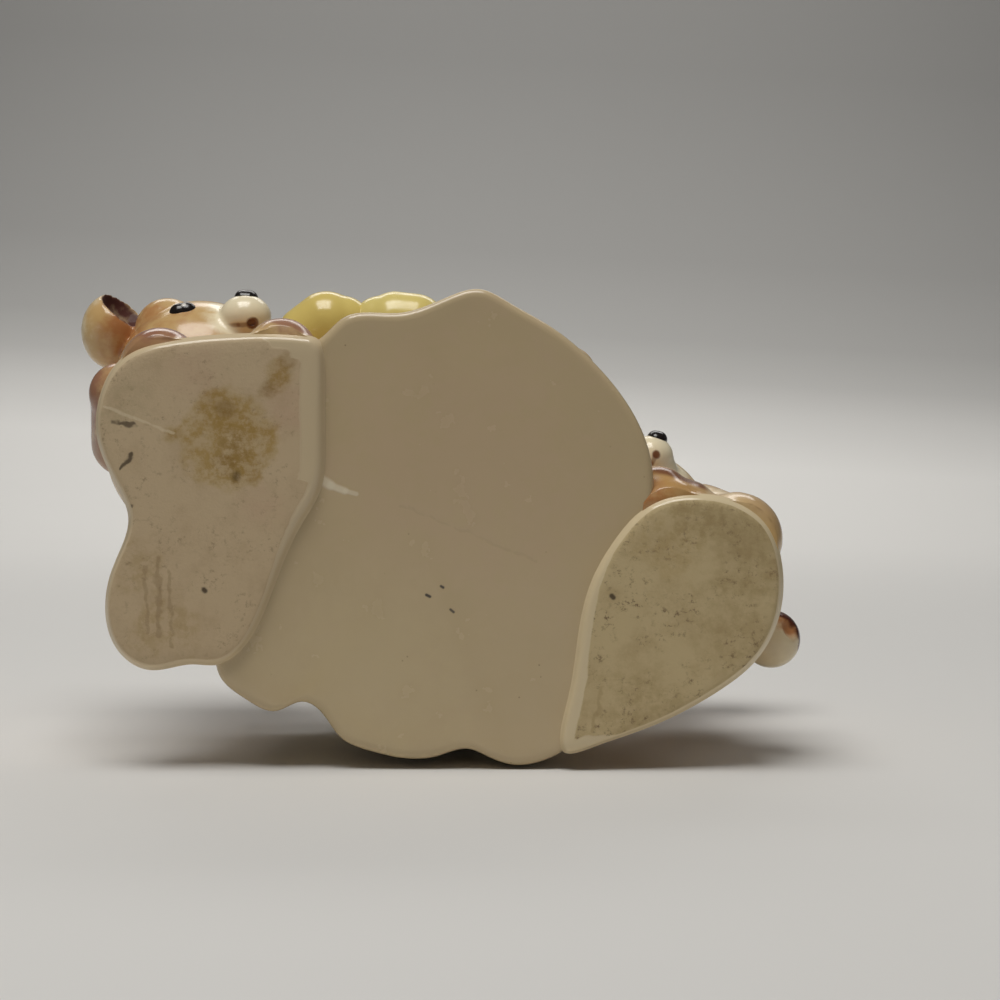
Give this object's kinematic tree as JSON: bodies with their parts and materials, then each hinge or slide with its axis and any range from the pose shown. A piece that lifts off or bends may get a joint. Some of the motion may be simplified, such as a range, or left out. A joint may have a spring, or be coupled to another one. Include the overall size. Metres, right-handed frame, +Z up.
{
  "type": "animal shaped planter",
  "caption": "Glazed ceramic novelty planter with two bear cubs leaning on an open pot, dry unglazed foot pads and a small yellow bow on the front.",
  "frame": {"origin": "middle of the whole object in plan, at the level of the foot pads' undersides", "axes": "+Z up out of the pot's opening, -Y towards the front that the cubs face, +X towards the right cub"},
  "size_m": [0.1878, 0.1163, 0.1099],
  "materials": {
    "cream_glaze": "gloss",
    "cub_glaze": "gloss",
    "yellow_glaze": "gloss",
    "black_glaze": "gloss",
    "dry_bisque": "matte"
  },
  "bodies": {
    "root": {"pot": "cream_glaze", "left_foot_pad": "dry_bisque", "right_foot_pad": "dry_bisque", "left_cub_torso": "cub_glaze", "left_cub_rump": "cub_glaze", "left_cub_head": "cub_glaze", "left_cub_muzzle": "cream_glaze", "left_cub_nose": "black_glaze", "left_cub_eyes": "black_glaze", "left_cub_outer_ear": "cub_glaze", "left_cub_inner_ear": "cub_glaze", "left_cub_outer_leg": "cub_glaze", "left_cub_inner_leg": "cub_glaze", "left_cub_outer_arm": "cub_glaze", "left_cub_inner_arm": "cub_glaze", "right_cub_torso": "cub_glaze", "right_cub_rump": "cub_glaze", "right_cub_head": "cub_glaze", "right_cub_muzzle": "cream_glaze", "right_cub_nose": "black_glaze", "right_cub_eyes": "black_glaze", "right_cub_outer_ear": "cub_glaze", "right_cub_inner_ear": "cub_glaze", "right_cub_outer_leg": "cub_glaze", "right_cub_inner_leg": "cub_glaze", "right_cub_outer_arm": "cub_glaze", "right_cub_inner_arm": "cub_glaze", "right_cub_tail": "cub_glaze", "bow_left_loop": "yellow_glaze", "bow_right_loop": "yellow_glaze", "bow_knot": "yellow_glaze"}
  },
  "joints": []
}
